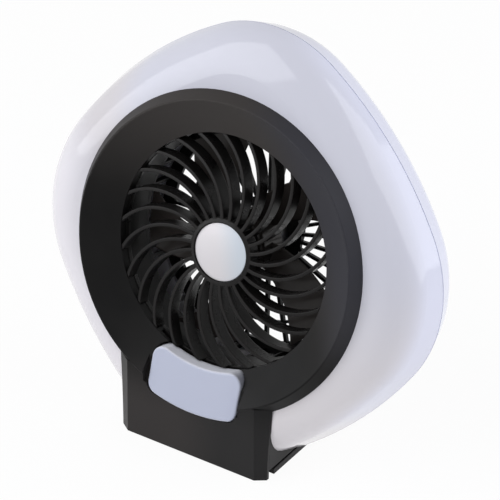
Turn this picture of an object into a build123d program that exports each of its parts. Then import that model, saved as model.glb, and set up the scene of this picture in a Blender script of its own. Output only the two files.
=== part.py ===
from build123d import *
from math import atan2, cos, degrees, hypot, radians, sin, sqrt, tan
import os

# Portable camping fan: a round fan in a black ring cover, set in a glowing
# diamond-shaped lamp shell that leans back on a black base with a folding foot.
#
# Frame: millimetres, +Z up, +X to the right of someone facing the fan, and the
# fan blows towards -Y. The origin is on the floor straight below the centre
# of the ring cover's front rim.
#
# The head leans back. Its pieces are drawn on planes parallel to the front rim,
# and "depth" is the distance behind the plane of that rim.

# ---------------------------------------------------------------- stance
head_lean = 16.7             # angle of the fan axis above the horizontal, degrees
shell_lean = 11.0            # lean of the lamp shell's parting line and back face, degrees
shell_sunk = 31.0            # how far the full outline of the lamp shell runs below the tray

# ---------------------------------------------------------------- ring cover
rim_radius = 82.0            # front edge of the ring
band_flare = 4.5             # how much wider the back edge of the flared side band is
band_radius = rim_radius + band_flare
band_depth = 7.0             # where the side band meets the lamp shell
opening_radius = 62.7        # air opening
opening_depth = 10.0         # how far the dished face runs in
cover_wall = 2.4
spigot_depth = 15.2          # back end of the spigot that seats on the grille
rim_round = 0.9              # rounding of the front edge
cover_post_radius = 3.0      # screw posts behind the ring
cover_post_inset = 4.7       # circle of the screw posts inside the front edge
cover_post_circle = rim_radius - cover_post_inset
cover_post_count = 4
cover_post_angle = 45.0      # angle of the first post, degrees

# ---------------------------------------------------------------- skirt and base
skirt_front = -20.8          # y of the flat front of the skirt
skirt_flat_half_width = 39.5
skirt_half_width_floor = 45.0
skirt_half_width_waist = 45.7
skirt_half_width_top = 47.4
skirt_waist_height = 22.0
skirt_top_height = 45.0
corner_run_back = 5.2        # depth of the slanted front corners
corner_run_side = 7.3        # width of the slanted front corners
skirt_wall = 2.4
seam_gap = 0.15              # gap between the skirt and the base housing
skirt_seam = -14.9           # y of the seam behind the slanted corners
base_back_margin = 8.5       # base behind the back of the lamp shell at the tray
base_back_corner = 9.0       # rounding of the two rear corners in plan
base_bottom = 5.0            # underside of the base housing
base_floor = 1.8
base_wall = 2.4
tray_top = 12.0              # rim of the tray under the lamp shell
cheek_top = 39.0             # top of the base beside the front of the lamp shell
rear_lip_height = 2.0        # lip of the base behind the lamp shell, above the tray
piece_gap = 0.3              # gap where housings stand side by side

# ---------------------------------------------------------------- lamp shell
shell_top_centre = 54.6      # centres and radii of the outline's arcs
shell_top_radius = 66.4
shell_side_centre_x = 40.4
shell_side_centre_y = -0.1
shell_side_radius = 76.3
shell_bottom_centre = -80.2
shell_bottom_radius = 44.6
shell_upper_flank_radius = 207.0
shell_lower_flank_radius = 235.0
parting_depth = 39.2         # widest outline, where the two halves meet, at the fan axis
shell_rear_depth = 67.8      # back face at the fan axis
front_draft = 10.8           # degrees
rear_draft = 19.9            # degrees
front_edge_radius = 23.4
rear_edge_start = 40.4       # depth at which the flank begins to round over to the back face
rear_edge_radius = shell_rear_depth - rear_edge_start
shell_wall = 2.4
parting_groove = 0.5         # bevel on both halves along the parting line
shell_hole_inset = 5.9       # edge of the front hole, hidden behind the ring's band
shell_hole_radius = band_radius - shell_hole_inset

# ---------------------------------------------------------------- grille, duct, guard
grille_rib_count = 26
grille_first_rib = 1.4       # angle of the first rib's root, degrees
grille_rib_width = 1.8
grille_rib_depth = 7.4
grille_hub_radius = 18.2
grille_hub_bore = 15.9
grille_front_at_hub = 7.6
grille_front_at_rim = 10.2
grille_ring_width = 2.6
grille_ring_height = 3.0
rib_arc_radius = 37.8        # ribs leave the hub radially and curve to the left
rib_arc_sweep = 110.0        # degrees, long enough to reach the ring
fit_gap = 0.25               # clearance of parts that drop into one another
cap_radius = 15.5
cap_front_depth = 7.0
cap_crown = 0.8              # height of the dome on the cap
cap_thickness = 2.6
duct_wall = 2.4
duct_overlap = 0.1
duct_end_depth = 34.0        # where the slotted side of the guard takes over
guard_depth = 56.2           # back face of the guard, at the floor of the shell's recess
guard_flange_radius = 71.0
guard_thickness = 2.4
guard_inner_radius = 58.5
guard_hub_radius = 20.0
guard_ring_radius = 48.0
guard_ring_width = 1.5
guard_bar_count = 30
guard_bar_width = 1.8
guard_first_bar = 3.2        # angle of the first bar, degrees
guard_collar_height = 3.0    # closed collar at the front end of the slotted side
recess_draft = 3.0           # degrees

# ---------------------------------------------------------------- motor and impeller
impeller_front = 20.5        # depth of the hub's face
impeller_hub_radius = 17.5
impeller_hub_height = 19.0
impeller_hub_wall = 2.0
impeller_hub_round = 3.0
impeller_boss_radius = 3.5
blade_count = 5
blade_first_angle = -4.0     # angle of the first blade's root, degrees
blade_tip_radius = 58.5
blade_thickness = 1.8
blade_root_chord = 14.0      # width of a blade, drawn on to the fan axis
blade_tip_chord = 39.5
blade_root_pitch = 62.5      # degrees between the blade and the plane of rotation
blade_tip_pitch = 27.0
blade_tip_sweep = 32.0       # degrees the tip runs ahead of the root
blade_camber_share = 14      # chord over the height of its curve
motor_radius = 12.2
motor_length = 24.0
motor_front = 41.6           # depth of the motor's face
motor_wall = 1.0
motor_boss_radius = 3.5
motor_boss_height = 1.6
bearing_length = 3.0
bearing_radius = 3.0
shaft_radius = 1.0
shaft_fit = 0.02             # running clearance of the shaft in its bushes
rotor_radius = 8.0
rotor_length = 10.0
rotor_slot_count = 3
shaft_seat = 1.0             # hub plastic in front of the shaft's tip
magnet_thickness = 2.2
magnet_gap = 0.5
motor_cup_wall = 2.0

# ---------------------------------------------------------------- lamp
led_board_inset = 8.3        # board inside and outside the circle of screw posts
led_board_outset = 2.9
led_board_inner = cover_post_circle - led_board_inset
led_board_outer = cover_post_circle + led_board_outset
led_board_depth = 40.0
led_board_thickness = 1.6
led_count = 24
led_size = 3.5
led_height = 1.2
led_circle = 74.5

# ---------------------------------------------------------------- press key
key_half_width = 27.5
key_top_radius = 63.2
key_bottom_radius = 89.4
key_corner_radius = 6.5
key_front_depth = 3.7
key_edge_round = 1.2
key_gap = 0.35
key_relief_width = 1.7       # the ring is cut back on both sides of the key
key_relief_depth = 1.0       # below the key's face
key_travel = 1.5
key_body_depth = 12.6        # where the clear block ends and its carrier begins
key_flange_extra = 1.4
key_sleeve_wall = 3.0        # guide walls round the key behind the cover
key_flange_thickness = 1.5
key_stem_radius = 3.0
key_stem_length = 1.6
key_centre_v = -77.5
switch_size = 9.0
switch_height = 6.5
plunger_radius = 2.0
plunger_fit = 0.05
plunger_below = 2.6          # length of plunger inside the switch at rest
control_board_depth = 26.0
control_board_thickness = 1.6
control_board_half_width = 37.0
control_board_top_v = -70.0
control_board_bottom_v = -92.0
pillar_radius = 2.6          # two pillars on the cover carry the control board
pillar_across = 33.5
pillar_up = -74.0
pillar_start_depth = 4.5
pocket_half_width = 38.0     # room in the front shell behind the skirt
pocket_bottom_v = -118.0
pocket_depth = 21.0

# ---------------------------------------------------------------- battery and charging
cell_radius = 9.2
cell_length = 65.0
cell_height = 17.0           # axis above the floor
cell_front_y = 13.0
cell_pitch = 20.0
cradle_wall = 1.6
cradle_height = 4.0
tab_thickness = 0.3
charge_board_half_width = 13.0
charge_rail_height = 0.8     # rails that lift the charging board off the tray floor
charge_rail_width = 2.0
charge_board_length = 12.0
charge_board_thickness = 1.2
socket_width = 9.0
socket_height = 3.3
socket_length = 7.4
socket_wall = 0.3
socket_tongue = 0.7
socket_tongue_width = 6.3

# ---------------------------------------------------------------- folding foot
foot_half_width = 45.0
foot_front = -10.2
foot_back_inset = 1.0        # how far the foot stops short of the back of the base
foot_front_thickness = 3.2
foot_back_thickness = 4.4
foot_back_corner = 9.0
foot_wall = 1.4
hinge_y = -13.4
hinge_height = 2.4
hinge_barrel_radius = 2.1
hinge_pin_radius = 1.0
hinge_pin_fit = 0.05
hinge_pin_half_length = 42.0
hinge_lug_width = 9.0
hinge_lug_centres = (-21.0, 0.0, 21.0)
hinge_lug_gap = 0.4
pad_radius = 5.0
pad_thickness = 1.2
pad_spacing_x = 66.0
pad_front_y = 6.0
pad_back_inset = 13.0        # from the back of the base

# ---------------------------------------------------------------- screws
screw_radius = 1.4
screw_hole_radius = 1.45
screw_head_radius = 2.7
screw_head_height = 1.8
screw_well_radius = 3.0
screw_wall = 1.5             # material under a screw head
shell_screw_head_depth = 54.0
shell_screw_tip_depth = 30.0
guard_screw_circle = 68.2
guard_screw_count = 4
guard_screw_length = 7.0
guard_boss_radius = 3.0
guard_boss_length = 8.0
board_screw_length = 5.0
base_screw_front = (33.0, -9.0)
base_screw_back_across = 30.0
base_screw_back_inset = 13.5 # from the back of the base
base_screw_tip = 19.0
base_boss_radius = 3.2
base_boss_top = 22.0
base_boss_web = 2.0

os.makedirs("parts", exist_ok=True)

# ---------------------------------------------------------------- planes and axes
lean_sine = sin(radians(head_lean))
lean_cosine = cos(radians(head_lean))
shell_slope = tan(radians(head_lean - shell_lean))
shell_bottom_reach = shell_bottom_radius - shell_bottom_centre
rim_centre_height = (
    tray_top
    - shell_sunk
    + shell_bottom_reach * cos(radians(shell_lean))
    + parting_depth * lean_sine
)
head = Plane(
    origin=(0, 0, rim_centre_height),
    x_dir=(1, 0, 0),
    z_dir=(0, -lean_cosine, lean_sine),
)
head_section = Plane(origin=head.origin, x_dir=head.y_dir, z_dir=head.x_dir)
fan_axis = Axis(head.origin, head.z_dir)
parting_plane = Plane(
    origin=head.origin - head.z_dir * parting_depth,
    x_dir=head.x_dir,
    z_dir=head.z_dir - head.y_dir * shell_slope,
)
shell_rear_height = (shell_rear_depth - parting_depth) * cos(radians(head_lean - shell_lean))
skirt_plane = Plane(origin=(0, skirt_front, 0), x_dir=(1, 0, 0), z_dir=(0, -1, 0))
far = 300.0                  # longer than the whole fan, for cuts that run through

# Where the slanting back face of the lamp shell meets the height of the tray.
back_at_tray_v = (tray_top - rim_centre_height + shell_rear_depth * lean_sine) / (
    lean_cosine + shell_slope * lean_sine
)
back_at_tray_depth = shell_rear_depth - shell_slope * back_at_tray_v
base_back = back_at_tray_v * lean_sine + back_at_tray_depth * lean_cosine + base_back_margin + base_wall
base_screw_back = (base_screw_back_across, base_back - base_screw_back_inset)
rear_lip_top = tray_top + rear_lip_height
charge_rail_centre = base_back - base_wall - charge_board_length / 2


def behind(depth):
    """Plane parallel to the front rim, the given depth behind it."""
    return head.offset(-depth)


def head_point(across, up, depth):
    """A point of the head in the frame of the whole fan."""
    return head.origin + head.x_dir * across + head.y_dir * up - head.z_dir * depth


def finish(builder, name):
    """Name the piece and write it out."""
    builder.part.label = name
    export_step(builder.part, f"parts/{name}.step")


# ---------------------------------------------------------------- lamp shell body
def flank_centre(corner_y, corner_radius, flank_radius, direction):
    """Centre of the long arc that touches a corner arc and the side arc from outside."""
    to_corner = flank_radius - corner_radius
    to_side = flank_radius - shell_side_radius
    run_x = shell_side_centre_x
    run_y = shell_side_centre_y - corner_y
    run = hypot(run_x, run_y)
    along = (to_corner**2 - to_side**2 + run**2) / (2 * run)
    aside = sqrt(to_corner**2 - along**2)
    centre_x = (run_x * along - direction * -run_y * aside) / run
    centre_y = corner_y + (run_y * along - direction * run_x * aside) / run
    return centre_x, centre_y


def heading(start, end):
    """Direction from one point to another, in degrees."""
    return degrees(atan2(end[1] - start[1], end[0] - start[0]))


def shell_outline(inset):
    """Rounded diamond: four corner arcs joined by four long flank arcs."""
    side = (shell_side_centre_x, shell_side_centre_y)
    top = (0, shell_top_centre)
    bottom = (0, shell_bottom_centre)
    upper = flank_centre(shell_top_centre, shell_top_radius, shell_upper_flank_radius, 1)
    lower = flank_centre(shell_bottom_centre, shell_bottom_radius, shell_lower_flank_radius, -1)
    upper_top = heading(upper, top)
    upper_side = heading(upper, side)
    lower_side = heading(lower, side)
    lower_bottom = heading(lower, bottom)
    upper_flank = shell_upper_flank_radius - inset
    lower_flank = shell_lower_flank_radius - inset
    with BuildSketch() as outline:
        with BuildLine():
            CenterArc(top, shell_top_radius - inset, upper_top, 180 - 2 * upper_top)
            CenterArc(bottom, shell_bottom_radius - inset, -180 - lower_bottom, 180 + 2 * lower_bottom)
            CenterArc(upper, upper_flank, upper_side, upper_top - upper_side)
            CenterArc(side, shell_side_radius - inset, lower_side, upper_side - lower_side)
            CenterArc(lower, lower_flank, lower_bottom, lower_side - lower_bottom)
            left_side = (-side[0], side[1])
            left_upper = (-upper[0], upper[1])
            left_lower = (-lower[0], lower[1])
            CenterArc(left_upper, upper_flank, 180 - upper_top, upper_top - upper_side)
            CenterArc(left_side, shell_side_radius - inset, 180 - upper_side, upper_side - lower_side)
            CenterArc(left_lower, lower_flank, 180 - lower_side, lower_side - lower_bottom)
        make_face()
    return outline.sketch


def shell_front_solid(inset):
    """Front half of the shell as a full body, made smaller all round by the inset."""
    with BuildPart() as solid:
        with BuildSketch(parting_plane):
            add(shell_outline(inset))
        extrude(amount=2 * parting_depth, taper=front_draft)
        split(bisect_by=behind(band_depth + inset), keep=Keep.BOTTOM)
        front_edges = solid.faces().sort_by(fan_axis)[-1].edges()
        fillet(front_edges, radius=front_edge_radius - inset)
    return solid.part


def shell_rear_solid(inset):
    """Rear half of the shell as a full body, its back face parallel to the parting line."""
    with BuildPart() as solid:
        with BuildSketch(parting_plane):
            add(shell_outline(inset))
        extrude(amount=-(shell_rear_height - inset), taper=rear_draft)
        back_edges = solid.faces().sort_by(fan_axis)[0].edges()
        fillet(back_edges, radius=rear_edge_radius - inset)
    return solid.part


# ---------------------------------------------------------------- skirt and base block
def base_block(inset, low, high):
    """Block shared by the skirt and the base: slanted front corners, flared sides."""
    reach = skirt_half_width_top + corner_run_side
    corner_y = skirt_front + (reach - skirt_flat_half_width) * corner_run_back / corner_run_side
    with BuildPart() as block:
        with BuildSketch(Plane.XY.offset(low)):
            with BuildLine():
                Polyline(
                    (-reach, base_back),
                    (-reach, corner_y),
                    (-skirt_flat_half_width, skirt_front),
                    (skirt_flat_half_width, skirt_front),
                    (reach, corner_y),
                    (reach, base_back),
                    close=True,
                )
            make_face()
            offset(amount=-inset, kind=Kind.INTERSECTION)
        extrude(amount=high - low)
        with BuildSketch(skirt_plane):
            with BuildLine():
                waist = ThreePointArc(
                    (skirt_half_width_floor - inset, 0),
                    (skirt_half_width_waist - inset, skirt_waist_height),
                    (skirt_half_width_top - inset, skirt_top_height),
                )
                Polyline((0, -far), (skirt_half_width_floor - inset, -far), waist @ 0)
                Polyline(waist @ 1, (skirt_half_width_top - inset, far), (0, far))
                mirror(about=Plane.YZ)
            make_face()
        extrude(amount=-far, both=True, mode=Mode.INTERSECT)
        back_edges = block.faces().sort_by(Axis.Y)[-1].edges()
        corners = [back_edges.sort_by(Axis.X)[0], back_edges.sort_by(Axis.X)[-1]]
        fillet(corners, radius=base_back_corner - inset)
    return block.part


def key_outline(margin, top_radius):
    """Ring-shaped sector with straight sides, grown by the margin on sides and bottom."""
    half_width = key_half_width + margin
    bottom_radius = key_bottom_radius + margin
    with BuildSketch() as outline:
        Circle(bottom_radius)
        Circle(top_radius, mode=Mode.SUBTRACT)
        with Locations((0, -bottom_radius / 2)):
            Rectangle(2 * half_width, bottom_radius, mode=Mode.INTERSECT)
        fillet(outline.vertices(), radius=key_corner_radius)
    return outline.sketch


def key_relief_outline():
    """Strip across the ring, as wide as the key and the two cut-back places beside it."""
    with BuildSketch() as outline:
        Circle(band_radius)
        Circle(opening_radius - 2 * key_gap, mode=Mode.SUBTRACT)
        with Locations((0, -band_radius / 2)):
            Rectangle(2 * (key_half_width + key_gap + key_relief_width), band_radius, mode=Mode.INTERSECT)
    return outline.sketch


# ---------------------------------------------------------------- base screws
base_screw_seat = base_bottom + screw_head_height + fit_gap
base_screw_places = [
    (side * across, back)
    for side in (-1, 1)
    for across, back in (base_screw_front, base_screw_back)
]

# ---------------------------------------------------------------- front cover
dish_slope = opening_depth / (rim_radius - opening_radius)
band_slope = (band_radius - rim_radius) / band_depth
dish_wall = cover_wall * sqrt(1 + dish_slope**2)   # wall measured along the fan axis
under_rim_depth = (
    dish_slope * (cover_wall + band_slope * band_depth + rim_radius - band_radius) + dish_wall
) / (1 + dish_slope * band_slope)
under_rim_radius = band_radius - cover_wall - band_slope * (band_depth - under_rim_depth)
spigot_outer = opening_radius + cover_wall
under_spigot_depth = dish_slope * (rim_radius - spigot_outer) + dish_wall
cover_inside_y = skirt_front + skirt_wall
post_front_depth = dish_slope * (rim_radius - cover_post_circle) + dish_wall * 0.8

with BuildPart() as key_sleeve:
    with BuildSketch(head):
        add(key_outline(key_gap + key_sleeve_wall, key_top_radius))
        add(key_outline(key_gap, key_top_radius), mode=Mode.SUBTRACT)
    extrude(amount=-(key_body_depth - key_gap))
    with BuildSketch(head_section):
        with BuildLine():
            Polyline(
                (spigot_outer, -(under_spigot_depth - dish_wall / 2)),
                (rim_radius, -dish_wall / 2),
                (far, -dish_wall / 2),
                (far, -far),
                (spigot_outer, -far),
                close=True,
            )
        make_face()
    revolve(axis=fan_axis, mode=Mode.INTERSECT)
    with BuildSketch(skirt_plane.offset(-skirt_wall / 2)):
        Rectangle(far, far)
    extrude(amount=-far, mode=Mode.INTERSECT)

with BuildPart() as front_cover:
    add(base_block(0, 0, skirt_top_height))
    add(base_block(skirt_wall, -skirt_wall, skirt_top_height + skirt_wall), mode=Mode.SUBTRACT)
    with BuildSketch(Plane.XZ.offset(-(skirt_seam - seam_gap / 2))):
        Rectangle(far, far)
    extrude(amount=-far, mode=Mode.SUBTRACT)
    with BuildSketch(head.offset(rim_radius)):
        Circle(under_rim_radius)
    extrude(amount=-far, mode=Mode.SUBTRACT)
    with BuildSketch(head_section) as ring_section:
        with BuildLine():
            Polyline(
                (rim_radius, 0),
                (band_radius, -band_depth),
                (band_radius - cover_wall, -band_depth),
                (under_rim_radius, -under_rim_depth),
                (spigot_outer, -under_spigot_depth),
                (spigot_outer, -spigot_depth),
                (opening_radius, -spigot_depth),
                (opening_radius, -opening_depth),
                close=True,
            )
        make_face()
        rim_corner = ring_section.vertices().sort_by(Axis.Y)[-1]
        fillet(rim_corner, radius=rim_round)
    revolve(axis=fan_axis)
    with BuildSketch(head.offset(rim_radius)):
        add(key_outline(key_gap, opening_radius - 2 * key_gap))
    extrude(amount=-(rim_radius + spigot_depth + key_gap), mode=Mode.SUBTRACT)
    with BuildSketch(behind(key_body_depth - key_gap)):
        with Locations((0, -key_bottom_radius / 2)):
            Rectangle(2 * (key_half_width + key_flange_extra + key_gap), key_bottom_radius)
    extrude(amount=-(pocket_depth - key_body_depth), mode=Mode.SUBTRACT)
    add(key_sleeve.part)
    with BuildSketch(head.offset(rim_radius)):
        add(key_relief_outline())
    extrude(amount=-(rim_radius + key_front_depth + key_relief_depth), mode=Mode.SUBTRACT)
    with BuildSketch(behind(led_board_depth)):
        with PolarLocations(cover_post_circle, cover_post_count, start_angle=cover_post_angle):
            Circle(cover_post_radius)
            Circle(screw_hole_radius, mode=Mode.SUBTRACT)
    extrude(amount=led_board_depth - post_front_depth)
    with BuildSketch(behind(control_board_depth)):
        with Locations((-pillar_across, pillar_up), (pillar_across, pillar_up)):
            Circle(pillar_radius)
            Circle(screw_hole_radius, mode=Mode.SUBTRACT)
    extrude(amount=control_board_depth - pillar_start_depth)
    with BuildSketch(Plane.XY.offset(base_screw_seat + screw_wall)):
        for side in (-1, 1):
            with Locations((side * base_screw_front[0], base_screw_front[1])):
                Circle(base_boss_radius)
            with Locations((side * base_screw_front[0], (base_screw_front[1] + cover_inside_y) / 2)):
                Rectangle(base_boss_web, base_screw_front[1] - cover_inside_y + skirt_wall)
            with Locations((side * base_screw_front[0], base_screw_front[1])):
                Circle(screw_hole_radius, mode=Mode.SUBTRACT)
    extrude(amount=base_boss_top - base_screw_seat - screw_wall)
finish(front_cover, "front_cover")

# ---------------------------------------------------------------- front grille and cap
cap_seat_depth = cap_front_depth + cap_crown + cap_thickness
hub_back_depth = grille_front_at_hub + grille_rib_depth
rim_back_depth = grille_front_at_rim + grille_rib_depth
ring_front_depth = spigot_depth + fit_gap
ring_inner = opening_radius - fit_gap
rib_start = (grille_hub_radius + grille_hub_bore) / 2

rib_arc_centre = (rib_start, rib_arc_radius)
with BuildSketch() as rib:
    with BuildLine():
        near_side = CenterArc(rib_arc_centre, rib_arc_radius - grille_rib_width / 2, -90, rib_arc_sweep)
        far_side = CenterArc(rib_arc_centre, rib_arc_radius + grille_rib_width / 2, -90, rib_arc_sweep)
        Line(near_side @ 0, far_side @ 0)
        Line(near_side @ 1, far_side @ 1)
    make_face()

with BuildPart() as front_grille:
    with BuildSketch(head):
        with PolarLocations(0, grille_rib_count, start_angle=grille_first_rib):
            add(rib.sketch)
    extrude(amount=-2 * rim_back_depth)
    with BuildSketch(head_section):
        with BuildLine():
            ThreePointArc(
                (grille_hub_bore, -grille_front_at_hub),
                (
                    (grille_hub_bore + ring_inner) / 2,
                    -(grille_front_at_hub + grille_front_at_rim) / 2 + cap_crown,
                ),
                (ring_inner, -grille_front_at_rim),
            )
            Polyline(
                (ring_inner, -grille_front_at_rim),
                (ring_inner, -ring_front_depth),
                (ring_inner + grille_ring_width / 2, -ring_front_depth),
                (ring_inner + grille_ring_width / 2, -rim_back_depth),
                (ring_inner, -rim_back_depth),
                (grille_hub_bore, -hub_back_depth),
                (grille_hub_bore, -grille_front_at_hub),
            )
        make_face()
    revolve(axis=fan_axis, mode=Mode.INTERSECT)
    with BuildSketch(head_section):
        with BuildLine():
            Polyline(
                (grille_hub_bore, -cap_front_depth),
                (grille_hub_radius, -(cap_front_depth + cap_crown)),
                (grille_hub_radius, -hub_back_depth),
                (0, -hub_back_depth),
                (0, -cap_seat_depth),
                (grille_hub_bore, -cap_seat_depth),
                close=True,
            )
        make_face()
        with Locations((ring_inner + grille_ring_width / 2, -ring_front_depth - grille_ring_height / 2)):
            Rectangle(grille_ring_width, grille_ring_height)
    revolve(axis=fan_axis)
finish(front_grille, "front_grille")

with BuildPart() as centre_cap:
    with BuildSketch(head_section):
        with BuildLine():
            dome = ThreePointArc(
                (-cap_radius, -(cap_front_depth + cap_crown)),
                (0, -cap_front_depth),
                (cap_radius, -(cap_front_depth + cap_crown)),
            )
            Polyline(dome @ 1, (cap_radius, -cap_seat_depth), (-cap_radius, -cap_seat_depth), dome @ 0)
        make_face()
        with Locations((-cap_radius, -cap_seat_depth)):
            Rectangle(2 * cap_radius, far, mode=Mode.SUBTRACT)
    revolve(axis=fan_axis)
finish(centre_cap, "centre_cap")

# ---------------------------------------------------------------- lamp shell
shell_base_cut = base_block(-piece_gap, -base_back, tray_top + piece_gap)

with BuildPart() as skirt_room:
    add(base_block(-piece_gap, -base_back, skirt_top_height))
    with BuildSketch(Plane.XZ.offset(-(skirt_seam + piece_gap))):
        Rectangle(far, far)
    extrude(amount=far, mode=Mode.INTERSECT)

with BuildPart() as front_shell:
    add(shell_front_solid(0))
    chamfer(front_shell.faces().sort_by(fan_axis)[0].edges(), length=parting_groove)
    add(shell_front_solid(shell_wall), mode=Mode.SUBTRACT)
    with BuildSketch(head):
        Circle(shell_hole_radius)
        with Locations((0, pocket_bottom_v / 2)):
            Rectangle(2 * pocket_half_width, -pocket_bottom_v)
    extrude(amount=-pocket_depth, mode=Mode.SUBTRACT)
    add(shell_base_cut, mode=Mode.SUBTRACT)
    add(skirt_room.part, mode=Mode.SUBTRACT)
finish(front_shell, "front_shell")

duct_outer = opening_radius + duct_wall
post_tube_start = led_board_depth + led_board_thickness
guard_front = guard_depth - guard_thickness
recess_radius = guard_flange_radius + piece_gap
recess_length = shell_rear_depth + 2 * shell_slope * recess_radius - guard_front


def shell_recess(grow):
    """Round well in the back of the shell, grown all round by a wall."""
    with BuildPart() as well:
        with BuildSketch(behind(guard_front - grow)):
            Circle(recess_radius + grow)
        extrude(amount=-(recess_length + grow), taper=-recess_draft)
    return well.part


with BuildPart() as rear_shell:
    with BuildSketch(behind(post_tube_start)):
        with PolarLocations(cover_post_circle, cover_post_count, start_angle=cover_post_angle):
            Circle(screw_well_radius + screw_wall)
    extrude(amount=-shell_rear_depth)
    with BuildSketch(behind(guard_front)):
        with PolarLocations(guard_screw_circle, guard_screw_count):
            Circle(guard_boss_radius)
    extrude(amount=guard_boss_length)
    add(shell_recess(shell_wall))
    with BuildSketch(Plane.XY.offset(tray_top + piece_gap)):
        with Locations((-base_screw_back[0], base_screw_back[1]), (base_screw_back[0], base_screw_back[1])):
            Circle(base_boss_radius)
        for side in (-1, 1):
            with Locations((side * base_screw_back[0], (base_screw_back[1] + base_back) / 2)):
                Rectangle(base_boss_web, base_back - base_screw_back[1])
    extrude(amount=base_boss_top - tray_top)
    add(shell_front_solid(shell_wall) + shell_rear_solid(shell_wall / 2), mode=Mode.INTERSECT)
    add(shell_rear_solid(0) - shell_rear_solid(shell_wall))
    add(shell_recess(0), mode=Mode.SUBTRACT)
    with BuildSketch(behind(parting_depth)):
        Circle(duct_outer + fit_gap)
    extrude(amount=-far, mode=Mode.SUBTRACT)
    with BuildSketch(behind(parting_depth)):
        with PolarLocations(cover_post_circle, cover_post_count, start_angle=cover_post_angle):
            Circle(screw_hole_radius)
    extrude(amount=-shell_rear_depth, mode=Mode.SUBTRACT)
    with BuildSketch(behind(shell_screw_head_depth)):
        with PolarLocations(cover_post_circle, cover_post_count, start_angle=cover_post_angle):
            Circle(screw_well_radius)
    extrude(amount=-shell_rear_depth, mode=Mode.SUBTRACT)
    with BuildSketch(behind(guard_front)):
        with PolarLocations(guard_screw_circle, guard_screw_count):
            Circle(screw_hole_radius)
    extrude(amount=guard_boss_length - shell_wall / 2, mode=Mode.SUBTRACT)
    with BuildSketch(Plane.XY.offset(tray_top)):
        with Locations((-base_screw_back[0], base_screw_back[1]), (base_screw_back[0], base_screw_back[1])):
            Circle(screw_hole_radius)
    extrude(amount=base_screw_tip - tray_top + piece_gap, mode=Mode.SUBTRACT)
    add(shell_base_cut, mode=Mode.SUBTRACT)
finish(rear_shell, "rear_shell")

# ---------------------------------------------------------------- duct and rear guard
duct_start = ring_front_depth + grille_ring_height + duct_overlap
with BuildPart() as air_duct:
    with BuildSketch(behind(duct_start)):
        Circle(duct_outer)
        Circle(opening_radius, mode=Mode.SUBTRACT)
    extrude(amount=-(duct_end_depth - duct_start))
finish(air_duct, "air_duct")

motor_back = motor_front + motor_length
cup_outer = motor_radius + motor_cup_wall
guard_side_start = duct_end_depth + duct_overlap
with BuildPart() as rear_guard:
    with BuildSketch(behind(guard_front)):
        Circle(cup_outer)
    extrude(amount=-(motor_back + motor_cup_wall - guard_front))
    with BuildSketch(behind(guard_side_start)):
        Circle(duct_outer)
        Circle(opening_radius, mode=Mode.SUBTRACT)
    extrude(amount=-guard_collar_height)
    with BuildSketch(behind(guard_side_start)):
        with PolarLocations(opening_radius + duct_wall / 2, guard_bar_count, start_angle=guard_first_bar):
            Rectangle(duct_wall, guard_bar_width)
    extrude(amount=-(guard_depth - guard_side_start))
    with BuildSketch(behind(guard_front)):
        Circle(guard_flange_radius)
        Circle(guard_inner_radius, mode=Mode.SUBTRACT)
        Circle(guard_ring_radius + guard_ring_width / 2)
        Circle(guard_ring_radius - guard_ring_width / 2, mode=Mode.SUBTRACT)
        with PolarLocations(
            (guard_inner_radius + guard_hub_radius) / 2, guard_bar_count, start_angle=guard_first_bar
        ):
            Rectangle(guard_inner_radius - guard_hub_radius + guard_ring_width, guard_bar_width)
        Circle(guard_hub_radius)
        with PolarLocations(guard_screw_circle, guard_screw_count):
            Circle(screw_hole_radius, mode=Mode.SUBTRACT)
    extrude(amount=-guard_thickness)
    with BuildSketch(behind(motor_front)):
        Circle(motor_radius + fit_gap / 5)
    extrude(amount=-motor_length, mode=Mode.SUBTRACT)
finish(rear_guard, "rear_guard")

# ---------------------------------------------------------------- motor
end_cap_thickness = bearing_length
boss_front = motor_front - motor_boss_height
with BuildPart() as motor_can:
    with BuildSketch(behind(motor_front)):
        Circle(motor_radius)
    extrude(amount=-motor_length)
    with BuildSketch(behind(boss_front)):
        Circle(motor_boss_radius)
    extrude(amount=-motor_boss_height)
    with BuildSketch(behind(motor_front + motor_wall)):
        Circle(motor_radius - motor_wall)
    extrude(amount=-motor_length, mode=Mode.SUBTRACT)
    with BuildSketch(behind(boss_front)):
        Circle(motor_boss_radius - motor_wall)
    extrude(amount=-motor_length, mode=Mode.SUBTRACT)
finish(motor_can, "motor_can")

with BuildPart() as motor_end_cap:
    with BuildSketch(behind(motor_back - end_cap_thickness)):
        Circle(motor_radius - motor_wall)
        Circle(bearing_radius, mode=Mode.SUBTRACT)
    extrude(amount=-end_cap_thickness)
finish(motor_end_cap, "motor_end_cap")

front_bearing_radius = motor_boss_radius - motor_wall
with BuildPart() as front_bearing:
    with BuildSketch(behind(boss_front)):
        Circle(front_bearing_radius)
        Circle(shaft_radius + shaft_fit, mode=Mode.SUBTRACT)
    extrude(amount=-bearing_length)
finish(front_bearing, "front_bearing")

with BuildPart() as rear_bearing:
    with BuildSketch(behind(motor_back - bearing_length)):
        Circle(bearing_radius)
        Circle(shaft_radius + shaft_fit, mode=Mode.SUBTRACT)
    extrude(amount=-bearing_length)
finish(rear_bearing, "rear_bearing")

rotor_front = boss_front + bearing_length + (motor_length - rotor_length) / 3
magnet_outer = motor_radius - motor_wall
with BuildPart() as motor_magnets:
    with BuildSketch(behind(rotor_front)):
        Circle(magnet_outer)
        Circle(magnet_outer - magnet_thickness, mode=Mode.SUBTRACT)
        Rectangle(2 * magnet_outer, magnet_outer / 2, mode=Mode.SUBTRACT)
    extrude(amount=-rotor_length)
finish(motor_magnets, "motor_magnets")

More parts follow.
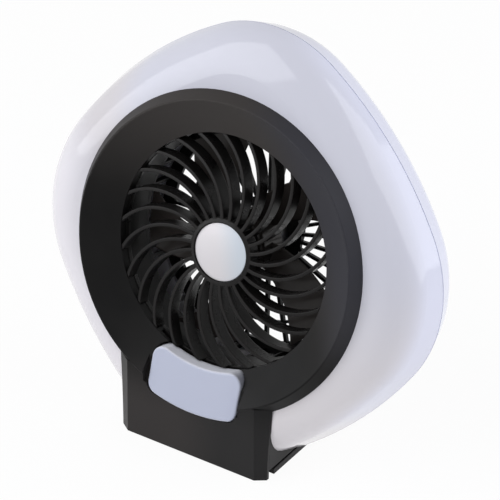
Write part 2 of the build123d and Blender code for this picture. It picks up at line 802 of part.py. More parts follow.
with BuildPart() as motor_rotor:
    with BuildSketch(behind(rotor_front)):
        Circle(rotor_radius)
        Circle(shaft_radius, mode=Mode.SUBTRACT)
        with PolarLocations(rotor_radius, rotor_slot_count):
            Rectangle(rotor_radius / 2, rotor_radius / 5, mode=Mode.SUBTRACT)
    extrude(amount=-rotor_length)
finish(motor_rotor, "motor_rotor")

shaft_front = impeller_front + impeller_hub_wall + shaft_seat
with BuildPart() as motor_shaft:
    with BuildSketch(behind(shaft_front)):
        Circle(shaft_radius)
    extrude(amount=-(motor_back - shaft_front - fit_gap))
finish(motor_shaft, "motor_shaft")

# ---------------------------------------------------------------- impeller
blade_depth = impeller_front + impeller_hub_height / 2


def blade_section(blade, radius, share):
    """One curved section of a blade, standing across a radius of the impeller."""
    turn = radians(blade_first_angle + 360 / blade_count * blade - blade_tip_sweep * share)
    chord = blade_root_chord + (blade_tip_chord - blade_root_chord) * share
    pitch = blade_root_pitch + (blade_tip_pitch - blade_root_pitch) * share
    outward = head.x_dir * cos(turn) + head.y_dir * sin(turn)
    along = head.y_dir * cos(turn) - head.x_dir * sin(turn)
    centre = head_point(radius * cos(turn), radius * sin(turn), blade_depth)
    station = Plane(origin=centre, x_dir=along, z_dir=outward).rotated((0, 0, pitch))
    camber = -chord / blade_camber_share
    with BuildSketch(station) as section:
        with BuildLine():
            ThreePointArc(
                (-chord / 2, 0), (0, camber + blade_thickness / 2), (chord / 2, 0)
            )
            ThreePointArc(
                (-chord / 2, 0), (0, camber - blade_thickness / 2), (chord / 2, 0)
            )
        make_face()
    return section.sketch


hub_back = impeller_front + impeller_hub_height
hub_inside = impeller_front + impeller_hub_wall
with BuildPart() as impeller:
    for blade in range(blade_count):
        blade_root = impeller_hub_radius / 2
        blade_end = blade_tip_radius + impeller_hub_wall
        loft([
            blade_section(blade, blade_root, 0).face(),
            blade_section(blade, (blade_root + blade_end) / 2, 0.5).face(),
            blade_section(blade, blade_end, 1).face(),
        ])
    with BuildSketch(behind(hub_inside)):
        Circle(blade_tip_radius)
        Circle(impeller_hub_radius - impeller_hub_wall / 2, mode=Mode.SUBTRACT)
    extrude(amount=far, both=True, mode=Mode.INTERSECT)
    with BuildSketch(head_section) as hub_section:
        with BuildLine():
            Polyline(
                (shaft_radius, -shaft_front),
                (0, -shaft_front),
                (0, -impeller_front),
                (impeller_hub_radius, -impeller_front),
                (impeller_hub_radius, -hub_back),
                (impeller_hub_radius - impeller_hub_wall, -hub_back),
                (impeller_hub_radius - impeller_hub_wall, -hub_inside),
                (impeller_boss_radius, -hub_inside),
                (impeller_boss_radius, -hub_back),
                (shaft_radius, -hub_back),
                close=True,
            )
        make_face()
        fillet(hub_section.vertices().group_by(Axis.Y)[-1].sort_by(Axis.X)[-1], radius=impeller_hub_round)
    revolve(axis=fan_axis)
finish(impeller, "impeller")

# ---------------------------------------------------------------- lamp board
with BuildPart() as led_board:
    with BuildSketch(behind(led_board_depth)):
        Circle(led_board_outer)
        Circle(led_board_inner, mode=Mode.SUBTRACT)
        with PolarLocations(cover_post_circle, cover_post_count, start_angle=cover_post_angle):
            Circle(screw_hole_radius, mode=Mode.SUBTRACT)
    extrude(amount=-led_board_thickness)
finish(led_board, "led_board")

led_half_step = 180 / led_count
with BuildPart() as leds:
    with BuildSketch(behind(led_board_depth - led_height)):
        with PolarLocations(led_circle, led_count, start_angle=led_half_step):
            Rectangle(led_size, led_size)
    extrude(amount=-led_height)
finish(leds, "leds")

# ---------------------------------------------------------------- press key and switch
with BuildPart() as key_lens:
    with BuildSketch(behind(key_front_depth)):
        add(key_outline(0, key_top_radius))
    extrude(amount=-(key_body_depth - key_front_depth))
    fillet(key_lens.faces().sort_by(fan_axis)[-1].edges(), radius=key_edge_round)
finish(key_lens, "key_lens")

stem_end_depth = key_body_depth + key_flange_thickness + key_stem_length
with BuildPart() as key_carrier:
    with BuildSketch(behind(key_body_depth)):
        add(key_outline(key_flange_extra, ring_inner + grille_ring_width + 2 * key_gap))
    extrude(amount=-key_flange_thickness)
    with BuildSketch(behind(key_body_depth + key_flange_thickness)):
        with Locations((0, key_centre_v)):
            Circle(key_stem_radius)
    extrude(amount=-key_stem_length)
finish(key_carrier, "key_carrier")

switch_front_depth = control_board_depth - switch_height
with BuildPart() as switch_plunger:
    with BuildSketch(behind(stem_end_depth)):
        with Locations((0, key_centre_v)):
            Circle(plunger_radius)
    extrude(amount=-(switch_front_depth - stem_end_depth + plunger_below))
finish(switch_plunger, "switch_plunger")

with BuildPart() as push_switch:
    with BuildSketch(behind(control_board_depth)):
        with Locations((0, key_centre_v)):
            Rectangle(switch_size, switch_size)
    extrude(amount=switch_height)
    with BuildSketch(behind(switch_front_depth)):
        with Locations((0, key_centre_v)):
            Circle(plunger_radius + plunger_fit)
    extrude(amount=-(plunger_below + key_travel + key_gap), mode=Mode.SUBTRACT)
finish(push_switch, "push_switch")

control_board_height = control_board_top_v - control_board_bottom_v
with BuildPart() as control_board:
    with BuildSketch(behind(control_board_depth)):
        with Locations((0, (control_board_top_v + control_board_bottom_v) / 2)):
            Rectangle(2 * control_board_half_width, control_board_height)
        with Locations((-pillar_across, pillar_up), (pillar_across, pillar_up)):
            Circle(screw_hole_radius, mode=Mode.SUBTRACT)
    extrude(amount=-control_board_thickness)
finish(control_board, "control_board")

# ---------------------------------------------------------------- base housing
shell_clearance = shell_front_solid(-piece_gap) + shell_rear_solid(-piece_gap)
charge_board_bottom = base_bottom + base_floor + charge_rail_height
socket_bottom = charge_board_bottom + charge_board_thickness

with BuildPart() as hinge_lugs:
    for lug_x in hinge_lug_centres:
        with BuildSketch(Plane.YZ.offset(lug_x)):
            with BuildLine():
                Polyline(
                    (hinge_y, hinge_height),
                    (hinge_y + hinge_barrel_radius, hinge_height),
                    (hinge_y + hinge_barrel_radius, base_bottom),
                    (hinge_y + hinge_barrel_radius, base_bottom + base_floor / 2),
                    (hinge_y, base_bottom + base_floor / 2),
                    close=True,
                )
            make_face()
            with Locations((hinge_y, hinge_height)):
                Circle(hinge_barrel_radius)
                Circle(hinge_pin_radius, mode=Mode.SUBTRACT)
        extrude(amount=hinge_lug_width / 2, both=True)

with BuildPart() as shell_above_tray:
    add(shell_clearance)
    with BuildSketch(Plane.XY.offset(tray_top)):
        Rectangle(far, far)
    extrude(amount=far, mode=Mode.INTERSECT)

with BuildPart() as tray_mouth:
    add(shell_front_solid(shell_wall + piece_gap) + shell_rear_solid(shell_wall + piece_gap))
    add(base_block(base_wall, base_bottom + base_floor, 2 * tray_top), mode=Mode.INTERSECT)

with BuildPart() as front_room:
    add(base_block(base_wall, base_bottom + base_floor, skirt_top_height))
    with BuildSketch(Plane.XZ):
        Rectangle(far, far)
    extrude(amount=far, mode=Mode.INTERSECT)

with BuildPart() as base_housing:
    add(base_block(0, base_bottom, cheek_top))
    add(shell_above_tray.part, mode=Mode.SUBTRACT)
    with BuildSketch(Plane.XZ.offset(-(skirt_seam + seam_gap / 2))):
        Rectangle(far, far)
    extrude(amount=far, mode=Mode.SUBTRACT)
    with BuildSketch(head.offset(rim_radius)):
        Circle(band_radius + piece_gap)
    extrude(amount=-(rim_radius + band_depth + piece_gap), mode=Mode.SUBTRACT)
    with BuildSketch(Plane.XY.offset(rear_lip_top)):
        with Locations((0, base_back)):
            Rectangle(far, 2 * (base_back - cell_front_y))
    extrude(amount=far, mode=Mode.SUBTRACT)
    add(base_block(base_wall, base_bottom + base_floor, tray_top - base_wall), mode=Mode.SUBTRACT)
    add(tray_mouth.part, mode=Mode.SUBTRACT)
    add(front_room.part, mode=Mode.SUBTRACT)
    with BuildSketch(Plane.XY.offset(base_bottom)):
        for across, back in base_screw_places:
            with Locations((across, back)):
                Circle(base_boss_radius + screw_wall)
    extrude(amount=base_screw_seat + screw_wall - base_bottom)
    with BuildSketch(Plane.XY.offset(base_bottom)):
        with Locations((-base_screw_back[0], base_screw_back[1]), (base_screw_back[0], base_screw_back[1])):
            Circle(base_boss_radius)
    extrude(amount=tray_top - base_bottom)
    with BuildSketch(Plane.XY.offset(base_bottom + base_floor)):
        with Locations((0, base_back - base_wall - charge_board_length / 2)):
            Rectangle(2 * charge_board_half_width + fit_gap, charge_board_length + 2 * fit_gap)
    extrude(amount=socket_bottom + socket_height + fit_gap - base_bottom - base_floor, mode=Mode.SUBTRACT)
    with BuildSketch(Plane.XY.offset(base_bottom + base_floor)):
        for side in (-1, 1):
            with Locations((side * charge_board_half_width / 2, charge_rail_centre)):
                Rectangle(charge_rail_width, charge_board_length)
    extrude(amount=charge_rail_height)
    with BuildSketch(Plane.XZ.offset(-base_back)):
        with Locations((0, socket_bottom + socket_height / 2)):
            RectangleRounded(
                socket_width + 2 * fit_gap, socket_height + 2 * fit_gap, socket_height / 2
            )
    extrude(amount=2 * base_wall, both=True, mode=Mode.SUBTRACT)
    with BuildSketch(Plane.XY.offset(base_bottom)):
        for across, back in base_screw_places:
            with Locations((across, back)):
                Circle(screw_hole_radius)
    extrude(amount=base_screw_tip, mode=Mode.SUBTRACT)
    with BuildSketch(Plane.XY.offset(base_bottom)):
        for across, back in base_screw_places:
            with Locations((across, back)):
                Circle(screw_well_radius)
    extrude(amount=base_screw_seat - base_bottom, mode=Mode.SUBTRACT)
    add(hinge_lugs.part)
finish(base_housing, "base_housing")

# ---------------------------------------------------------------- folding foot
foot_knuckle_gap = hinge_lug_width / 2 + hinge_lug_gap
foot_back = base_back - foot_back_inset
pad_back_y = base_back - pad_back_inset
with BuildPart() as foot_plate:
    with BuildSketch(Plane.XY):
        with Locations((0, (foot_front + foot_back) / 2)):
            Rectangle(2 * foot_half_width, foot_back - foot_front)
    extrude(amount=foot_back_thickness)
    fillet(foot_plate.edges().filter_by(Axis.Z).group_by(Axis.Y)[-1], radius=foot_back_corner)
    with BuildSketch(Plane.YZ):
        with BuildLine():
            Polyline(
                (foot_front, foot_front_thickness),
                (foot_back, foot_back_thickness),
                (foot_back, 2 * foot_back_thickness),
                (foot_front, 2 * foot_back_thickness),
                close=True,
            )
        make_face()
    extrude(amount=far, both=True, mode=Mode.SUBTRACT)
    with BuildSketch(Plane.YZ):
        with BuildLine():
            Polyline(
                (hinge_y, hinge_height - hinge_barrel_radius),
                (foot_front + foot_wall, hinge_height - hinge_barrel_radius),
                (foot_front + foot_wall, foot_front_thickness),
                (hinge_y, foot_front_thickness),
                close=True,
            )
        make_face()
        with Locations((hinge_y, hinge_height)):
            Circle(hinge_barrel_radius)
    extrude(amount=hinge_pin_half_length, both=True)
    for lug_x in hinge_lug_centres:
        with BuildSketch(Plane.YZ.offset(lug_x)):
            with Locations((hinge_y, hinge_height)):
                Rectangle(2 * (foot_front - hinge_y), far)
        extrude(amount=foot_knuckle_gap, both=True, mode=Mode.SUBTRACT)
    with BuildSketch(Plane.YZ):
        with Locations((hinge_y, hinge_height)):
            Circle(hinge_pin_radius + hinge_pin_fit)
    extrude(amount=far, both=True, mode=Mode.SUBTRACT)
    with BuildSketch(Plane.XY):
        with Locations((0, (pad_front_y + pad_back_y) / 2)):
            with GridLocations(pad_spacing_x, pad_back_y - pad_front_y, 2, 2):
                Circle(pad_radius)
    extrude(amount=pad_thickness, mode=Mode.SUBTRACT)
finish(foot_plate, "foot_plate")

with BuildPart() as foot_pads:
    with BuildSketch(Plane.XY):
        with Locations((0, (pad_front_y + pad_back_y) / 2)):
            with GridLocations(pad_spacing_x, pad_back_y - pad_front_y, 2, 2):
                Circle(pad_radius)
    extrude(amount=pad_thickness)
finish(foot_pads, "foot_pads")

with BuildPart() as hinge_pin:
    with BuildSketch(Plane.YZ):
        with Locations((hinge_y, hinge_height)):
            Circle(hinge_pin_radius)
    extrude(amount=hinge_pin_half_length, both=True)
finish(hinge_pin, "hinge_pin")

# ---------------------------------------------------------------- battery and charging
cell_places = [(cell_front_y, cell_height), (cell_front_y + cell_pitch, cell_height)]
cell_middle_y = cell_front_y + cell_pitch / 2
cradle_bottom = base_bottom + base_floor

with BuildPart() as battery_cells:
    with BuildSketch(Plane.YZ):
        with Locations(cell_places):
            Circle(cell_radius)
    extrude(amount=cell_length / 2, both=True)
finish(battery_cells, "battery_cells")

with BuildPart() as battery_tabs:
    for end in (-1, 1):
        with BuildSketch(Plane.YZ.offset(end * (cell_length / 2 + tab_thickness / 2))):
            with Locations((cell_middle_y, cell_height)):
                Rectangle(cell_pitch + cell_radius, cell_radius)
        extrude(amount=tab_thickness / 2, both=True)
finish(battery_tabs, "battery_tabs")

with BuildPart() as battery_cradle:
    with BuildSketch(Plane.XY.offset(cradle_bottom)):
        with Locations((0, cell_middle_y)):
            Rectangle(cell_length - 2 * cradle_wall, cell_pitch + 2 * cell_radius - 2 * cradle_wall)
    extrude(amount=cradle_height)
    with BuildSketch(Plane.YZ):
        with Locations(cell_places):
            Circle(cell_radius)
    extrude(amount=far, both=True, mode=Mode.SUBTRACT)
finish(battery_cradle, "battery_cradle")

charge_board_back = base_back - base_wall - fit_gap
with BuildPart() as charge_board:
    with BuildSketch(Plane.XY.offset(charge_board_bottom)):
        with Locations((0, charge_board_back - charge_board_length / 2)):
            Rectangle(2 * charge_board_half_width, charge_board_length)
    extrude(amount=charge_board_thickness)
finish(charge_board, "charge_board")

with BuildPart() as charge_socket:
    with BuildSketch(Plane.XZ.offset(-base_back)):
        with Locations((0, socket_bottom + socket_height / 2)):
            RectangleRounded(socket_width, socket_height, socket_height / 2 - socket_wall)
    extrude(amount=socket_length)
    with BuildSketch(Plane.XZ.offset(-base_back)):
        with Locations((0, socket_bottom + socket_height / 2)):
            RectangleRounded(
                socket_width - 2 * socket_wall,
                socket_height - 2 * socket_wall,
                socket_height / 2 - 2 * socket_wall,
            )
            Rectangle(socket_tongue_width, socket_tongue, mode=Mode.SUBTRACT)
    extrude(amount=socket_length - socket_wall, mode=Mode.SUBTRACT)
finish(charge_socket, "charge_socket")


# ---------------------------------------------------------------- screws
def add_screw(head_seat, drive_out, length):
    """One pan head screw as a closed solid, its head resting on the seat."""
    seat = Plane(origin=head_seat, z_dir=drive_out)
    with BuildPart() as screw:
        with BuildSketch(seat):
            Circle(screw_head_radius)
        extrude(amount=screw_head_height)
        with BuildSketch(seat):
            Circle(screw_radius)
        extrude(amount=-length)
        with BuildSketch(seat.offset(screw_head_height)):
            Rectangle(screw_radius * 2, screw_radius / 2)
            Rectangle(screw_radius / 2, screw_radius * 2)
        extrude(amount=-screw_head_height / 2, mode=Mode.SUBTRACT)
    return screw.part


def add_screws(name, seats, drive_out, length):
    """A group of like screws in one file."""
    group = Compound(children=[add_screw(seat, drive_out, length) for seat in seats])
    group.label = name
    export_step(group, f"parts/{name}.step")


def ring_of_points(radius, count, first_angle, place):
    """Points round the fan axis, each made by the given placing function."""
    angles = [radians(first_angle + 360 / count * index) for index in range(count)]
    return [place(radius * cos(angle), radius * sin(angle)) for angle in angles]


shell_seats = ring_of_points(
    cover_post_circle,
    cover_post_count,
    cover_post_angle,
    lambda across, up: head_point(across, up, shell_screw_head_depth),
)
add_screws("shell_screws", shell_seats, -head.z_dir, shell_screw_head_depth - shell_screw_tip_depth)

guard_seats = ring_of_points(
    guard_screw_circle,
    guard_screw_count,
    0,
    lambda across, up: head_point(across, up, guard_depth),
)
add_screws("guard_screws", guard_seats, -head.z_dir, guard_screw_length)

board_back = control_board_depth + control_board_thickness
board_seats = [head_point(side * pillar_across, pillar_up, board_back) for side in (-1, 1)]
add_screws("board_screws", board_seats, -head.z_dir, board_screw_length)

base_seats = [(across, back, base_screw_seat) for across, back in base_screw_places]
add_screws("base_screws", base_seats, (0, 0, -1), base_screw_tip - base_screw_seat)
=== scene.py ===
from math import cos, pi, radians, sin

import bpy
from mathutils import Matrix, Vector

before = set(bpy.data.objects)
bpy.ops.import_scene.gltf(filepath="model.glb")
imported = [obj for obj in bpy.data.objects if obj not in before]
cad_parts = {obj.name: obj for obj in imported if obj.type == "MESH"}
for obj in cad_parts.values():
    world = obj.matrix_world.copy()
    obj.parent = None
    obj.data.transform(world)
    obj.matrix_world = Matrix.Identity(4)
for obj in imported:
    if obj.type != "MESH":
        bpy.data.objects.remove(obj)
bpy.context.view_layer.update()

MM = 0.001

# The fan's head leans back. Its own directions start at the centre of the ring's front rim.
LEAN = radians(16.7)
HEAD_ORIGIN = Vector((0, 0, 114.77 * MM))
HEAD_RIGHT = Vector((1, 0, 0))
HEAD_UP = Vector((0, sin(LEAN), cos(LEAN)))
HEAD_OUT = Vector((0, -cos(LEAN), sin(LEAN)))


# ---------------------------------------------------------------- camera
def set_camera():
    """Long lens from above and to the right of the fan's front."""
    azimuth = radians(33.88)
    elevation = radians(35.22)
    focal_length = 700.7
    distance = 5.0
    aim_right = 19.27 * MM
    aim_up = 2.85 * MM
    rim_centre = Vector((0, 0, 114.8 * MM))
    ahead = Vector((sin(azimuth), -cos(azimuth), 0))
    towards = ahead * cos(elevation) + Vector((0, 0, sin(elevation)))
    right = Vector((cos(azimuth), sin(azimuth), 0))
    up = towards.cross(right)
    data = bpy.data.cameras.new("camera")
    data.lens = focal_length
    data.sensor_width = 36.0
    data.clip_end = 20.0
    camera = bpy.data.objects.new("camera", data)
    camera.location = rim_centre + right * aim_right + up * aim_up + towards * distance
    camera.rotation_euler = towards.to_track_quat("Z", "Y").to_euler()
    bpy.context.scene.collection.objects.link(camera)
    bpy.context.scene.camera = camera


# ---------------------------------------------------------------- shader helpers
class Value:
    """A socket that can be used in plain arithmetic."""

    def __init__(self, shading, socket):
        self.shading = shading
        self.socket = socket

    def maths(self, operation, *others):
        numbers = {index: other for index, other in enumerate((self, *others))}
        return self.shading.node("ShaderNodeMath", {"operation": operation}, numbers)

    def __add__(self, other):
        return self.maths("ADD", other)

    def __sub__(self, other):
        return self.maths("SUBTRACT", other)

    def __rsub__(self, other):
        return self.shading.node("ShaderNodeMath", {"operation": "SUBTRACT"}, {0: other, 1: self})

    def __mul__(self, other):
        return self.maths("MULTIPLY", other)

    __radd__ = __add__
    __rmul__ = __mul__

    def between(self, low, high):
        """0 at low and below, 1 at high and above, smooth between them."""
        settings = {"interpolation_type": "SMOOTHSTEP"}
        return self.shading.node("ShaderNodeMapRange", settings, {0: self, 1: low, 2: high})


class Shading:
    """One material with its Principled shader."""

    def __init__(self, name, **constants):
        self.material = bpy.data.materials.new(name)
        self.material.use_nodes = True
        self.tree = self.material.node_tree
        self.shader = self.tree.nodes["Principled BSDF"]
        for socket, value in constants.items():
            self.shader.inputs[socket.replace("_", " ")].default_value = value
        self.place = self.node("ShaderNodeTexCoord", {}, {}, "Object")

    def node(self, kind, settings, sockets, output=0):
        made = self.tree.nodes.new(kind)
        for name, value in settings.items():
            setattr(made, name, value)
        for key, value in sockets.items():
            if isinstance(value, Value):
                self.tree.links.new(value.socket, made.inputs[key])
            else:
                made.inputs[key].default_value = value
        return Value(self, made.outputs[output])

    def feed(self, socket, value):
        self.tree.links.new(value.socket, self.shader.inputs[socket])

    def noise(self, scale, detail=2.0, roughness=0.5):
        """Cloudy pattern with about so many patches to the metre."""
        sockets = {"Vector": self.place, "Scale": scale, "Detail": detail, "Roughness": roughness}
        return self.node("ShaderNodeTexNoise", {}, sockets, "Fac")

    def mix(self, share, first, second):
        """Blend of two colours, all of the second where the share is 1."""
        settings = {"data_type": "RGBA"}
        return self.node("ShaderNodeMix", settings, {"Factor": share, 6: first, 7: second}, 2)

    def vector_maths(self, operation, sockets, output=0):
        return self.node("ShaderNodeVectorMath", {"operation": operation}, sockets, output)

    def along(self, direction, start=(0, 0, 0)):
        """Distance in millimetres along a direction from a point of the object."""
        away = self.vector_maths("SUBTRACT", {0: self.place, 1: start})
        per_mm = tuple(part / MM for part in direction)
        return self.vector_maths("DOT_PRODUCT", {0: away, 1: per_mm}, "Value")

    def on_head(self):
        """Distances in millimetres from the fan axis: to the right, up, and behind the rim."""
        across = self.along(HEAD_RIGHT, HEAD_ORIGIN)
        up = self.along(HEAD_UP, HEAD_ORIGIN)
        return across, up, self.along(-HEAD_OUT, HEAD_ORIGIN)

    def soft_edges(self, radius):
        """Normals that turn over the edges, as moulded edges do."""
        return self.node("ShaderNodeBevel", {"samples": 6}, {"Radius": radius * MM})

    def moulded_grain(self, depth, edge):
        """Fine spark-eroded grain over soft edges. The depth and the edge are in millimetres."""
        sockets = {"Height": self.noise(1600.0, 2.0, 0.6), "Distance": depth * MM}
        sockets["Strength"] = 0.35
        sockets["Normal"] = self.soft_edges(edge)
        self.feed("Normal", self.node("ShaderNodeBump", {}, sockets))


# ---------------------------------------------------------------- materials
def milk_plastic():
    """Milk-white lamp plastic with painted light: cooler at the top and right, warmer and paler
    low down and to the left, a painted highlight down the right flank and a painted shade band
    near the left edge.
    """
    shade = Shading("milk_plastic", IOR=1.46)
    across, up, depth = shade.on_head()
    # Painted light: the tones below stand in for how the light falls on the shell, not for the
    # plastic's own colour.
    cool_top_light = (0.600, 0.605, 0.685, 1)
    warm_painted_light = (0.76, 0.73, 0.75, 1)
    pale_left_light = (0.74, 0.715, 0.745, 1)
    blue_right_highlight = (0.71, 0.73, 0.87, 1)
    grey_left_shade = (0.60, 0.575, 0.60, 1)
    bright = (0.9, 0.9, 0.95, 1)
    # Painted light: warmer and brighter low down.
    low = 1 - (up + across * -0.25).between(-90.0, 10.0)
    colour = shade.mix(low, cool_top_light, warm_painted_light)
    # Painted light: paler to the left, towards the lamp.
    left = 1 - (across + up * 0.35).between(-110.0, -40.0)
    colour = shade.mix(left * 0.9, colour, pale_left_light)
    # Painted highlight: a bluish softbox reflection on the right flank.
    right_highlight_mask = depth.between(14.0, 30.0) * (across + up * 0.3).between(35.0, 70.0)
    colour = shade.mix(right_highlight_mask * 0.75, colour, blue_right_highlight)
    # Painted shade: a grey band along the left edge, in the upper part.
    leftward = across + up * 0.2
    left_shade_band = leftward.between(-110.0, -80.0) * (1 - leftward.between(-75.0, -45.0))
    colour = shade.mix(left_shade_band * up.between(5.0, 45.0), colour, grey_left_shade)
    cloud = shade.noise(14.0, 3.0).between(0.3, 0.7)
    shade.feed("Base Color", shade.mix(cloud * 0.035, colour, bright))
    shade.feed("Roughness", shade.noise(60.0).between(0.2, 0.8) * 0.03 + 0.07)
    return shade.material


def black_plastic(name, colour, rough, grain, edge, gloss=0.1):
    """Black moulded plastic, a little uneven in tone."""
    shade = Shading(name, IOR=1.48, Specular_IOR_Level=gloss)
    cloud = shade.noise(25.0, 3.0).between(0.25, 0.75)
    worn = tuple(part * 1.35 + 0.002 for part in colour[:3]) + (1,)
    shade.feed("Base Color", shade.mix(cloud * 0.5, colour, worn))
    shade.feed("Roughness", shade.noise(70.0, 3.0).between(0.2, 0.8) * 0.08 + rough)
    shade.moulded_grain(grain, edge)
    return shade.material


def cover_plastic():
    """Black satin cover with painted light: a warmer painted reflection at the top, a bluish
    painted reflection to the right, painted shade near black low on the left, and painted light
    and shade across the base front.
    """
    shade = Shading("cover_black", IOR=1.48, Specular_IOR_Level=0.1)
    across, up, _ = shade.on_head()
    # Painted light and shade: the tones below stand in for how the light falls on the cover, not
    # for its own colour.
    deep_shade = (0.004, 0.004, 0.0042, 1)
    warm_painted_light = (0.038, 0.034, 0.032, 1)
    bluish = (0.034, 0.034, 0.041, 1)
    base_lit_warm = (0.038, 0.034, 0.033, 1)
    base_shaded_grey = (0.020, 0.0195, 0.020, 1)
    dusty = (0.045, 0.042, 0.040, 1)
    # Painted shade near black low on the left, painted reflection higher up.
    colour = shade.mix((up + across * 0.3).between(-30.0, 60.0), deep_shade, warm_painted_light)
    # Painted reflection: bluish to the right.
    colour = shade.mix((across + up * 0.6).between(45.0, 85.0), colour, bluish)
    # Painted light on the left of the base front, painted shade on its right.
    base_light_and_shade = shade.mix(across.between(-12.0, 22.0), base_lit_warm, base_shaded_grey)
    on_base = 1 - (up - across * 0.1).between(-95.0, -60.0)
    colour = shade.mix(on_base * 0.9, colour, base_light_and_shade)
    cloud = shade.noise(25.0, 3.0).between(0.25, 0.75)
    shade.feed("Base Color", shade.mix(cloud * 0.12, colour, dusty))
    shade.feed("Roughness", shade.noise(70.0, 3.0).between(0.2, 0.8) * 0.08 + 0.36)
    shade.moulded_grain(0.03, 0.35)
    return shade.material


def cap_metal():
    """Satin silver cap with a painted bluish reflection to the right and an even, slightly domed
    gloss.
    """
    shade = Shading("cap_metal", Metallic=0.3, IOR=1.5)
    across, up, _ = shade.on_head()
    silver = (0.62, 0.60, 0.62, 1)
    blue_reflection_silver = (0.53, 0.58, 0.64, 1)
    warm_silver = (0.66, 0.64, 0.60, 1)
    # Painted reflection: bluish to the right.
    colour = shade.mix((across + up * 0.3).between(-4.0, 14.0), silver, blue_reflection_silver)
    cloud = shade.noise(40.0, 1.0).between(0.3, 0.7)
    shade.feed("Base Color", shade.mix(cloud * 0.08, colour, warm_silver))
    shade.feed("Roughness", shade.noise(60.0, 1.0).between(0.3, 0.7) * 0.04 + 0.34)
    dome_centre = tuple(HEAD_ORIGIN - HEAD_OUT * 150.0 * MM)
    outward = shade.vector_maths("SUBTRACT", {0: shade.place, 1: dome_centre})
    dome = shade.vector_maths("NORMALIZE", {0: outward})
    near_rim = (across * across + up * up).between(150.0, 200.0)
    sockets = {"Factor": near_rim, 4: dome, 5: shade.soft_edges(0.5)}
    shade.feed("Normal", shade.node("ShaderNodeMix", {"data_type": "VECTOR"}, sockets, 1))
    return shade.material


def key_plastic():
    """Smoky translucent block with a bluish face; its walls carry painted light on the left and
    painted shade on the right.
    """
    shade = Shading("key_plastic", IOR=1.49)
    across, _, depth = shade.on_head()
    lit_wall = (0.82, 0.83, 0.90, 1)
    shaded_wall = (0.30, 0.31, 0.36, 1)
    face_blue = (0.455, 0.485, 0.605, 1)
    face_pale = (0.48, 0.51, 0.63, 1)
    # Painted light on the walls to the left, painted shade on the walls to the right.
    walls = shade.mix(across.between(18.0, 26.0), lit_wall, shaded_wall)
    cloud = shade.noise(40.0, 2.0).between(0.3, 0.7)
    face = shade.mix(cloud * 0.2, face_blue, face_pale)
    shade.feed("Base Color", shade.mix(depth.between(3.6, 4.6), face, walls))
    shade.feed("Roughness", shade.noise(150.0).between(0.3, 0.7) * 0.06 + 0.3)
    shade.feed("Normal", shade.soft_edges(0.6))
    return shade.material


def plain(name, colour, rough, metallic=0.0):
    """Simple finish with a slight change of tone and gloss over the surface."""
    shade = Shading(name, Metallic=metallic)
    darker = tuple(part * 0.75 for part in colour[:3]) + (1,)
    cloud = shade.noise(80.0, 3.0).between(0.3, 0.7)
    shade.feed("Base Color", shade.mix(cloud, colour, darker))
    shade.feed("Roughness", cloud * 0.1 + rough)
    return shade.material


def circuit_board(name, colour):
    """Solder mask with a faint pattern of tracks."""
    shade = Shading(name, IOR=1.5)
    sockets = {"Vector": shade.place, "Scale": 160.0, "Mortar Size": 0.06}
    tracks = shade.node("ShaderNodeTexBrick", {}, sockets, "Fac")
    lighter = tuple(part * 1.8 + 0.01 for part in colour[:3]) + (1,)
    shade.feed("Base Color", shade.mix(tracks * 0.6, colour, lighter))
    shade.feed("Roughness", tracks * 0.15 + 0.3)
    return shade.material


cover_black = cover_plastic()
grille_black = black_plastic(
    "grille_black", (0.009, 0.0082, 0.008, 1), rough=0.24, grain=0.01, edge=0.8, gloss=0.16
)
fan_black = black_plastic(
    "fan_black", (0.046, 0.040, 0.037, 1), rough=0.16, grain=0.005, edge=0.4, gloss=0.22
)
guard_black = black_plastic(
    "guard_black", (0.008, 0.0078, 0.0078, 1), rough=0.35, grain=0.01, edge=0.4
)
board_green = circuit_board("board_green", (0.01, 0.07, 0.03, 1))
board_white = circuit_board("board_white", (0.6, 0.6, 0.58, 1))
steel = plain("steel", (0.45, 0.45, 0.46, 1), 0.28, 1.0)
milk = milk_plastic()

FINISHES = {
    "front_cover": cover_black,
    "base_housing": cover_black,
    "foot_plate": cover_black,
    "front_grille": grille_black,
    "impeller": fan_black,
    "air_duct": guard_black,
    "rear_guard": guard_black,
    "push_switch": guard_black,
    "battery_cradle": guard_black,
    "front_shell": milk,
    "rear_shell": milk,
    "centre_cap": cap_metal(),
    "key_lens": key_plastic(),
    "control_board": board_green,
    "charge_board": board_green,
    "led_board": board_white,
    "leds": plain("led_yellow", (0.85, 0.72, 0.25, 1), 0.3),
    "key_carrier": plain("white_plastic", (0.62, 0.62, 0.60, 1), 0.4),
    "foot_pads": plain("rubber", (0.02, 0.02, 0.02, 1), 0.75),
    "battery_cells": plain("cell_wrap", (0.05, 0.16, 0.42, 1), 0.25),
    "motor_magnets": plain("ferrite", (0.05, 0.048, 0.045, 1), 0.7),
    "motor_rotor": plain("laminations", (0.2, 0.19, 0.18, 1), 0.45, 0.9),
    "front_bearing": plain("bronze", (0.42, 0.27, 0.12, 1), 0.4, 1.0),
}
FINISHES["rear_bearing"] = FINISHES["front_bearing"]
FINISHES["switch_plunger"] = FINISHES["key_carrier"]
FINISHES["motor_end_cap"] = FINISHES["key_carrier"]

for name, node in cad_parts.items():
    node.data.materials.clear()
    node.data.materials.append(FINISHES.get(name, steel))


# ---------------------------------------------------------------- stage and light
def seen_directly(tree):
    """1 for what the camera, a mirror or clear glass shows, 0 for light that falls on things."""
    path = tree.nodes.new("ShaderNodeLightPath")
    shown = path.outputs["Is Camera Ray"]
    for other in ("Is Glossy Ray", "Is Transmission Ray"):
        either = tree.nodes.new("ShaderNodeMath")
        either.operation = "MAXIMUM"
        tree.links.new(shown, either.inputs[0])
        tree.links.new(path.outputs[other], either.inputs[1])
        shown = either.outputs[0]
    return shown


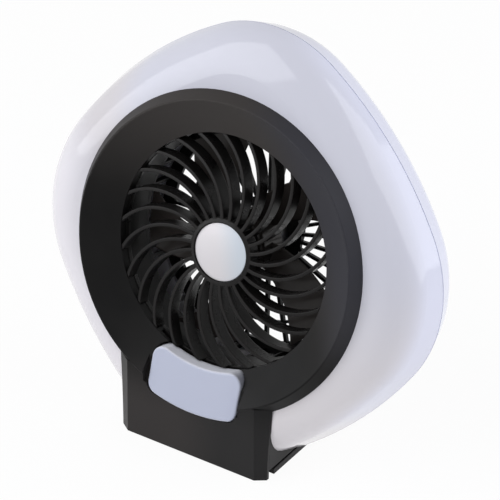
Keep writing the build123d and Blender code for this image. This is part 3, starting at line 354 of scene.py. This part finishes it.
def stage_floor():
    """Plain white floor. Its own light keeps the shadow on it faint."""
    reach = 3.0
    level = -0.4 * MM
    glow_share = 0.94
    mesh = bpy.data.meshes.new("floor")
    signs = [(-1, -1), (1, -1), (1, 1), (-1, 1)]
    corners = [(reach * across, reach * back, level) for across, back in signs]
    mesh.from_pydata(corners, [], [(0, 1, 2, 3)])
    floor = bpy.data.objects.new("floor", mesh)
    bpy.context.scene.collection.objects.link(floor)
    material = bpy.data.materials.new("floor_white")
    material.use_nodes = True
    tree = material.node_tree
    shader = tree.nodes["Principled BSDF"]
    shader.inputs["Base Color"].default_value = (0.9, 0.9, 0.9, 1)
    shader.inputs["Roughness"].default_value = 0.9
    shader.inputs["Specular IOR Level"].default_value = 0.0
    glow = tree.nodes.new("ShaderNodeEmission")
    glow.inputs["Color"].default_value = (1, 1, 1, 1)
    glow.inputs["Strength"].default_value = 1.0
    share = tree.nodes.new("ShaderNodeMath")
    share.operation = "MULTIPLY"
    share.inputs[1].default_value = glow_share
    blend = tree.nodes.new("ShaderNodeMixShader")
    tree.links.new(seen_directly(tree), share.inputs[0])
    tree.links.new(share.outputs[0], blend.inputs[0])
    tree.links.new(shader.outputs[0], blend.inputs[1])
    tree.links.new(glow.outputs[0], blend.inputs[2])
    tree.links.new(blend.outputs[0], tree.nodes["Material Output"].inputs["Surface"])
    mesh.materials.append(material)


def set_world(level):
    """Plain grey surroundings that show as white."""
    world = bpy.data.worlds.new("surroundings")
    bpy.context.scene.world = world
    world.use_nodes = True
    tree = world.node_tree
    around = tree.nodes["Background"]
    around.inputs["Color"].default_value = (0.98, 0.98, 1.0, 1)
    around.inputs["Strength"].default_value = level
    white = tree.nodes.new("ShaderNodeBackground")
    white.inputs["Color"].default_value = (1, 1, 1, 1)
    white.inputs["Strength"].default_value = 1.0
    blend = tree.nodes.new("ShaderNodeMixShader")
    tree.links.new(seen_directly(tree), blend.inputs[0])
    tree.links.new(around.outputs[0], blend.inputs[1])
    tree.links.new(white.outputs[0], blend.inputs[2])
    tree.links.new(blend.outputs[0], tree.nodes["World Output"].inputs["Surface"])


STAGE_CENTRE = Vector((0, 0.03, 0.13))


def softbox(name, towards, distance, shift, size, brightness, colour, roll=0.0):
    """Flat rectangular light that faces the fan, shifted sideways and up in its own plane."""
    towards = Vector(towards).normalized()
    sideways = Vector((0, 0, 1)).cross(towards).normalized()
    upwards = towards.cross(sideways)
    data = bpy.data.lights.new(name, "AREA")
    data.shape = "RECTANGLE"
    data.size = size[0]
    data.size_y = size[1]
    data.energy = brightness * pi * size[0] * size[1]
    data.color = colour
    lamp = bpy.data.objects.new(name, data)
    lamp.location = STAGE_CENTRE + towards * distance + sideways * shift[0] + upwards * shift[1]
    turned = towards.to_track_quat("Z", "Y").to_matrix().to_4x4()
    lamp.rotation_euler = (turned @ Matrix.Rotation(radians(roll), 4, "Z")).to_euler()
    lamp.visible_camera = False
    bpy.context.scene.collection.objects.link(lamp)


stage_floor()
set_world(0.38)
softbox(
    "tall_left_box",
    towards=(-0.65, -0.45, 0.55),
    distance=1.4,
    shift=(0.24, 0.0),
    size=(1.35, 2.1),
    brightness=2.1,
    colour=(0.97, 0.98, 1.0),
)
softbox(
    "right_rear_box",
    towards=(0.8, 0.3, 0.5),
    distance=1.4,
    shift=(0.0, -0.1),
    size=(1.1, 1.8),
    brightness=2.2,
    colour=(0.95, 0.96, 1.0),
    roll=18.0,
)
set_camera()
bpy.context.scene.view_settings.view_transform = "Standard"
